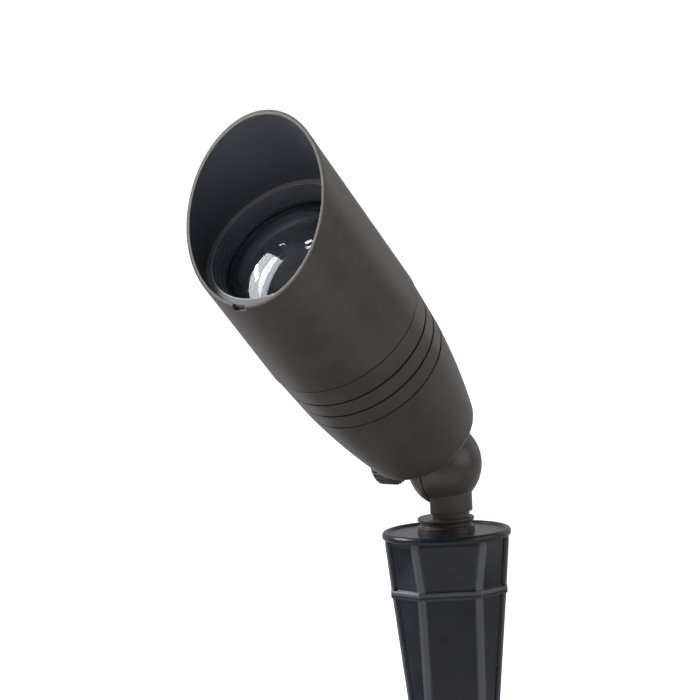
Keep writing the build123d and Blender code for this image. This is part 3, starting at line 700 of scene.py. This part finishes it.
STEEL = Finish(
    "plated_steel", Surface.PLATED, (0.6, 0.59, 0.57), (0.5, 0.49, 0.48), 0.28, metallic=1.0,
    grain_size=1500.0, grain_depth=0.004 * MM, axis=Axis.BOLT,
)
WHITE_BOARD = Finish(
    "white_solder_mask", Surface.BOARD, (0.62, 0.62, 0.6), (0.55, 0.55, 0.53), 0.4,
    grain_size=900.0, grain_depth=0.01 * MM,
)
GREEN_BOARD = Finish(
    "green_solder_mask", Surface.BOARD, (0.012, 0.085, 0.035), (0.01, 0.06, 0.028), 0.35,
    grain_size=900.0, grain_depth=0.01 * MM,
)
PHOSPHOR = Finish(
    "yellow_phosphor", Surface.GRANULAR, (0.75, 0.5, 0.08), (0.6, 0.38, 0.05), 0.5,
    grain_size=1800.0, grain_depth=0.02 * MM,
)
SLEEVE = Finish(
    "white_sleeve", Surface.MOULDED, (0.6, 0.6, 0.58), (0.52, 0.52, 0.5), 0.45,
    grain_size=600.0, grain_depth=0.01 * MM,
)
CASES = Finish(
    "component_cases", Surface.GRANULAR, (0.02, 0.02, 0.03), (0.03, 0.03, 0.045), 0.4,
    grain_size=1500.0, grain_depth=0.008 * MM,
)
LEAD_COVER = Finish(
    "lead_insulation", Surface.RUBBER, (0.03, 0.03, 0.03), (0.02, 0.02, 0.02), 0.45,
    grain_size=900.0, grain_depth=0.01 * MM,
)
GLASS = GlassFinish("clear_pressed_glass", (0.88, 0.93, 1.0), 1.5, 0.0, clear=0.97)
CLEAR_OPTIC = GlassFinish("clear_moulded_optic", (0.97, 0.98, 1.0), 1.49, 0.01)


@dataclass
class Workshop:
    """Holds the built finishes and puts them on the lamp's nodes."""

    materials: dict[str, bpy.types.Material] = field(default_factory=dict)

    def dress(self, node: str, finish: Finish | GlassFinish) -> None:
        """Gives a carried-over node its finish, whose material is made on first use.

        Args:
            node: The node's name in the frame.
            finish: The finish to put on it.
        """
        if finish.name not in self.materials:
            self.materials[finish.name] = finish.build()
        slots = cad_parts[node].data.materials
        slots.clear()
        slots.append(self.materials[finish.name])
        LOG.info("%s: %s", node, finish.name)


@dataclass(frozen=True)
class SubAssembly:
    """Nodes of the lamp that belong together."""

    def finishes(self) -> dict[str, Finish | GlassFinish]:
        """Finish of each node, by the node's name."""
        raise NotImplementedError

    def build(self, shop: Workshop) -> None:
        """Dresses the nodes in order.

        Args:
            shop: Where the materials are made and kept.
        """
        for node, finish in self.finishes().items():
            shop.dress(node, finish)


@dataclass(frozen=True)
class GroundStake(SubAssembly):
    """Moulded stake.

    Its sizes are the CAD's, in millimetres: levels below the flange's underside, and at those levels the
    places of ribs and fins from the stake's centre. The heading of its broad face is in degrees.
    """

    heading: float = 37.5
    levels: tuple[float, ...] = (2.3, 19.4, 61.0, 138.0, 203.0)
    rib_places: tuple[float, ...] = (11.3, 9.3, 8.7, 6.6, 0.4)
    rib_depths: tuple[float, ...] = (16.0, 11.8, 10.9, 7.4, 1.5)
    fin_reaches: tuple[float, ...] = (23.2, 21.6, 17.4, 10.9, 1.9)
    rib_offset: tuple[float, float] = (1.3, -0.4)
    fin_width: float = 0.9
    collar: tuple[float, float] = (19.4, 22.1)

    def finishes(self) -> dict[str, Finish | GlassFinish]:
        """Black moulding with painted highlights on its ribs."""
        # The stake's paler edges, ribs, fins and collar top are painted highlights.
        return {"stake": StakeFinish(
            "black_moulded_stake", Surface.MOULDED, (0.013, 0.0135, 0.025), (0.007, 0.0075, 0.0155),
            0.24, grain_size=700.0, grain_depth=0.02 * MM, highlight_and_rub_amount=0.5, highlight_and_rub_colour=(0.19, 0.192, 0.222),
            highlight_and_rub_breaks=0.25, highlight_and_rub_full=0.05, edge_radius=1.2 * MM, dust=0.04, specular=0.4,
            axis=Axis.STEM, shape=self,
        )}


@dataclass(frozen=True)
class CordEntry(SubAssembly):
    """Gland in the stub's foot and the leads above it."""

    def finishes(self) -> dict[str, Finish | GlassFinish]:
        """Rubber gland and insulated leads."""
        return {"cord_gland": RUBBER, "stem_leads": LEAD_COVER}


@dataclass(frozen=True)
class Knuckle(SubAssembly):
    """Two half balls, their washer, and the bolt with its thumb knob."""

    def finishes(self) -> dict[str, Finish | GlassFinish]:
        """Coated castings, plated bolt."""
        return {
            "stem_knuckle": COAT_PLAIN, "head_knuckle": COAT_PLAIN, "friction_washer": RUBBER,
            "tilt_knob": COAT_PLAIN, "knob_stud": STEEL, "knob_washer": STEEL,
        }


@dataclass(frozen=True)
class LampBody(SubAssembly):
    """Body with its ogive tail, and what seals it."""

    def finishes(self) -> dict[str, Finish | GlassFinish]:
        """Coated body, rubber seals, plated nut."""
        return {
            "body_housing": COAT_PLAIN, "tail_gasket": RUBBER, "tail_nut": STEEL, "hood_oring": RUBBER,
        }


@dataclass(frozen=True)
class Driver(SubAssembly):
    """Driver board in its sleeve, with the leads to the knuckle."""

    def finishes(self) -> dict[str, Finish | GlassFinish]:
        """White sleeve, green board, dark components."""
        return {
            "driver_sleeve": SLEEVE, "driver_board": GREEN_BOARD, "driver_parts": CASES,
            "head_leads": LEAD_COVER,
        }


@dataclass(frozen=True)
class LightEngine(SubAssembly):
    """Emitter on its board and spreader, with the optic over it."""

    def finishes(self) -> dict[str, Finish | GlassFinish]:
        """Bare aluminium, white board, clear optic in a black holder."""
        return {
            "heat_spreader": ALUMINIUM, "spreader_screws": STEEL, "led_board": WHITE_BOARD,
            "board_screws": STEEL, "led_emitter": PHOSPHOR, "optic_holder": HOLDER, "optic": CLEAR_OPTIC,
        }


@dataclass(frozen=True)
class LensMount(SubAssembly):
    """Lens, its gasket and the ring that holds it.

    Sizes in millimetres: starts from the pivot, radii from the lamp's axis, and the fade from painted
    shade to painted light measured above it.
    """

    band_radius: float = 26.05
    band_start: float = 127.2
    painted_shade_foot: float = -12.0
    painted_light_top: float = 18.0
    line_width: float = 0.3

    def finishes(self) -> dict[str, Finish | GlassFinish]:
        """Anodised ring with a coated band that carries painted light and shade, pressed glass."""
        ring = RingFinish(
            "black_anodised", Surface.TURNED, (0.21, 0.23, 0.27), (0.165, 0.18, 0.215), 0.22,
            grain_size=1600.0, grain_depth=0.01 * MM, highlight_and_rub_amount=0.6, highlight_and_rub_colour=(0.4, 0.4, 0.41),
            highlight_and_rub_breaks=0.5, edge_radius=0.15 * MM, shape=self,
        )
        return {"lens_gasket": RUBBER, "lens": GLASS, "lens_ring": ring}


@dataclass(frozen=True)
class GlareHood(SubAssembly):
    """Hood with its slanted mouth.

    Sizes in millimetres: starts and the cut's centre from the pivot, radii from the lamp's axis, and the
    rim's depth behind the cut. The cut's angle is in radians.
    """

    bore_radius: float = 28.9
    bore_start: float = 111.0
    lip_radius: float = 29.3
    rim_depth: float = 0.12
    cut_centre: float = 143.97
    cut_angle: float = math.radians(29.5)

    def finishes(self) -> dict[str, Finish | GlassFinish]:
        """Bronze coat, with a painted bluish shade in the bore."""
        return {"hood": CoatFinish(
            "bronze_powder_coat", Surface.POWDER, BRONZE, BRONZE_SHADE, 0.34, grain_size=1500.0,
            grain_depth=0.035 * MM, highlight_and_rub_amount=0.25, highlight_and_rub_colour=(0.2, 0.19, 0.18), dust=0.05, specular=0.45,
            shape=self,
        )}


@dataclass(frozen=True)
class FloorPatch:
    """Round patch of the floor with its own brightness in reflections, like a card laid there.

    Its centre and radii are in metres: the full glow inside the core, none outside the fade.
    """

    across: float
    ahead: float
    core: float
    fade: float
    glow: float


@dataclass
class Studio:
    """Pale floor and wall, and the soft lights.

    Reflections see the paper and the air darker than the camera does.
    """

    floor_height: float = -0.204
    reach: float = 2.4
    wall_height: float = 3.0
    wall_spread: float = 1.6
    bend: float = 0.6
    bend_steps: int = 24
    bounce: Colour = (0.06, 0.063, 0.07)
    fill: Colour = (0.02, 0.023, 0.028)
    paper: Colour = (0.93, 0.93, 0.93)
    paper_rough: float = 0.9
    glow: float = 0.95
    shine: float = 0.42
    shine_in_painted_shadow: float = 0.14
    near: float = 0.22
    far: float = 0.7
    patches: tuple[FloorPatch, ...] = (
        FloorPatch(-0.45, 0.0, 0.1, 0.26, 1.0), FloorPatch(-0.56, -0.215, 0.24, 0.4, 0.03),
    )

    def build(self) -> None:
        """Makes the floor, the air and the lights."""
        floor = self._floor()
        self._sky()
        for lamp in LAMPS:
            lamp.build()

    def _floor(self) -> bpy.types.Object:
        """Makes the floor, which bends up into a wall behind the object.

        Returns:
            The floor.
        """
        start = self.reach - self.bend
        profile = [(-self.reach, 0.0), (start, 0.0)]
        for step in range(1, self.bend_steps + 1):
            turn = math.pi / 2 * step / self.bend_steps
            profile.append((start + self.bend * math.sin(turn), self.bend * (1 - math.cos(turn))))
        profile.append((self.reach, self.wall_height))
        heading = math.radians(CAMERA.azimuth)
        across = Vector((math.cos(heading), math.sin(heading), 0.0))
        ahead = Vector((-math.sin(heading), math.cos(heading), 0.0))
        mesh = bmesh.new()
        rows = []
        for side in (-self.reach * self.wall_spread, self.reach * self.wall_spread):
            rows.append([
                mesh.verts.new(across * side + ahead * depth + Vector((0, 0, self.floor_height + rise)))
                for depth, rise in profile
            ])
        for i in range(len(profile) - 1):
            mesh.faces.new((rows[0][i], rows[0][i + 1], rows[1][i + 1], rows[1][i]))
        data = bpy.data.meshes.new("floor")
        mesh.to_mesh(data)
        mesh.free()
        for face in data.polygons:
            face.use_smooth = True
        data.materials.append(self._paper())
        floor = bpy.data.objects.new("floor", data)
        bpy.context.scene.collection.objects.link(floor)
        return floor

    def _paper(self) -> bpy.types.Material:
        """Paper of the floor and wall: white to the camera; in reflections it glows less near the lamp,
        a painted shadow of the lamp on the paper.

        Returns:
            The paper's material.
        """
        material = bpy.data.materials.new("studio_paper")
        material.use_nodes = True
        graph = Graph(material.node_tree)
        shader = material.node_tree.nodes["Principled BSDF"]
        seen = graph.add("ShaderNodeLightPath").outputs["Is Camera Ray"]
        place = graph.add("ShaderNodeTexCoord").outputs["Object"]
        out = graph.vector("LENGTH", place, out=1)
        # Painted shadow: near the lamp the paper glows less in reflections.
        shine = graph.blend(graph.band(out, self.near, self.far), self.shine_in_painted_shadow, self.shine)
        for patch in self.patches:
            centre = (patch.across, patch.ahead, self.floor_height)
            away = graph.vector("DISTANCE", place, centre, out=1)
            shine = graph.blend(graph.band(away, patch.core, patch.fade), patch.glow, shine)
        tint = graph.mix(seen, (*self.bounce, 1.0), (*self.paper, 1.0))
        graph.put(shader.inputs["Base Color"], tint)
        graph.put(shader.inputs["Emission Strength"], graph.blend(seen, shine, self.glow))
        shader.inputs["Emission Color"].default_value = WHITE
        shader.inputs["Roughness"].default_value = self.paper_rough
        return material

    def _sky(self) -> None:
        """White air for the camera, and a dim cool fill for everything else."""
        world = bpy.data.worlds.new("studio_air")
        bpy.context.scene.world = world
        world.use_nodes = True
        graph = Graph(world.node_tree)
        air = world.node_tree.nodes["Background"]
        seen = graph.add("ShaderNodeLightPath").outputs["Is Camera Ray"]
        graph.put(air.inputs["Color"], graph.mix(seen, (*self.fill, 1.0), WHITE))
        air.inputs["Strength"].default_value = 1.0


@dataclass(frozen=True)
class SoftLight:
    """One rectangular soft light that looks at the lamp.

    Angles in degrees and lengths in metres. The glow is its brightness, whatever its size.
    """

    name: str
    azimuth: float
    elevation: float
    distance: float
    size: tuple[float, float]
    glow: float
    colour: Colour = (1.0, 1.0, 1.0)
    aim: tuple[float, float, float] = (0.0, -0.04, 0.06)
    roll: float = 0.0

    def build(self) -> None:
        """Places the light round the object and turns it to face the object."""
        data = bpy.data.lights.new(self.name, "AREA")
        data.shape = "RECTANGLE"
        data.size, data.size_y = self.size
        data.energy = self.glow * math.pi * self.size[0] * self.size[1]
        data.color = self.colour
        light = bpy.data.objects.new(self.name, data)
        back = facing(math.radians(self.azimuth), math.radians(self.elevation))
        light.location = Vector(self.aim) + back * self.distance
        turn = back.to_track_quat("Z", "Y") @ Quaternion((0.0, 0.0, 1.0), math.radians(self.roll))
        light.rotation_euler = turn.to_euler()
        bpy.context.scene.collection.objects.link(light)


WARM = (1.0, 0.965, 0.93)
COOL = (0.94, 0.96, 1.0)

LAMPS: tuple[SoftLight, ...] = (
    SoftLight("window_left", -63.0, 30.0, 1.3, (0.74, 0.78), 9.5, COOL, roll=22.0),
    SoftLight("window_bar", -66.0, 35.0, 1.2, (0.42, 0.07), 20.0, roll=-20.0),
    SoftLight("sky_front", -10.0, 52.0, 1.5, (1.5, 1.1), 0.2, COOL),
    SoftLight("small_top", -42.0, 72.0, 1.4, (0.08, 0.11), 18.0),
    SoftLight("right_low", 109.4, 10.0, 1.5, (1.3, 0.6), 1.95, WARM),
    SoftLight("right_high", 117.4, 36.0, 1.5, (1.3, 0.7), 0.6, WARM),
    SoftLight("right_behind", 159.4, 14.0, 1.4, (0.8, 0.7), 0.5),
    SoftLight("camera_low", 57.4, 4.0, 1.4, (1.1, 0.45), 0.26, COOL),
    SoftLight("card_front", 47.4, -89.9, 0.2, (0.7, 0.45), 0.6, aim=(0.309, -0.284, 0.0)),
    SoftLight("card_left", -22.6, -89.9, 0.2, (0.7, 0.45), 0.6, aim=(-0.161, -0.388, 0.0)),
)


@dataclass(frozen=True)
class PhotoCamera:
    """The camera of the photograph, as a fit of the object's outline gave it.

    Angles in degrees, the pivot's place in metres in the camera's own frame.
    """

    azimuth: float = 37.37
    elevation: float = 4.22
    roll: float = -2.81
    focal_px: float = 2566.0
    frame_px: float = 700.0
    sensor: float = 36.0
    nearest: float = 0.01
    pivot_in_camera: tuple[float, float, float] = (34.91 * MM, -42.53 * MM, -960.04 * MM)

    def build(self) -> None:
        """Makes the camera and gives it to the scene."""
        data = bpy.data.cameras.new("photo_camera")
        data.sensor_width = self.sensor
        data.lens = self.sensor * self.focal_px / self.frame_px
        data.clip_start = self.nearest
        camera = bpy.data.objects.new("photo_camera", data)
        turn, rise, lean = map(math.radians, (self.azimuth, self.elevation, self.roll))
        back = facing(turn, rise)
        level = Vector((math.cos(turn), math.sin(turn), 0.0))
        upright = back.cross(level)
        right = level * math.cos(lean) + upright * math.sin(lean)
        up = upright * math.cos(lean) - level * math.sin(lean)
        axes = Matrix((right, up, back)).transposed()
        place = PIVOT - axes @ Vector(self.pivot_in_camera)
        camera.matrix_world = Matrix.Translation(place) @ axes.to_4x4()
        bpy.context.scene.collection.objects.link(camera)
        bpy.context.scene.camera = camera


CAMERA = PhotoCamera()


ASSEMBLIES: tuple[SubAssembly, ...] = (
    GroundStake(), CordEntry(), Knuckle(), LampBody(), Driver(), LightEngine(), LensMount(), GlareHood(),
)


def main() -> None:
    """Builds the scene in order."""
    logging.basicConfig(level=logging.INFO, format="%(message)s")
    bpy.context.scene.view_settings.view_transform = "Standard"
    CAMERA.build()
    shop = Workshop()
    for assembly in ASSEMBLIES:
        assembly.build(shop)
    Studio().build()


if __name__ == "__main__":
    main()
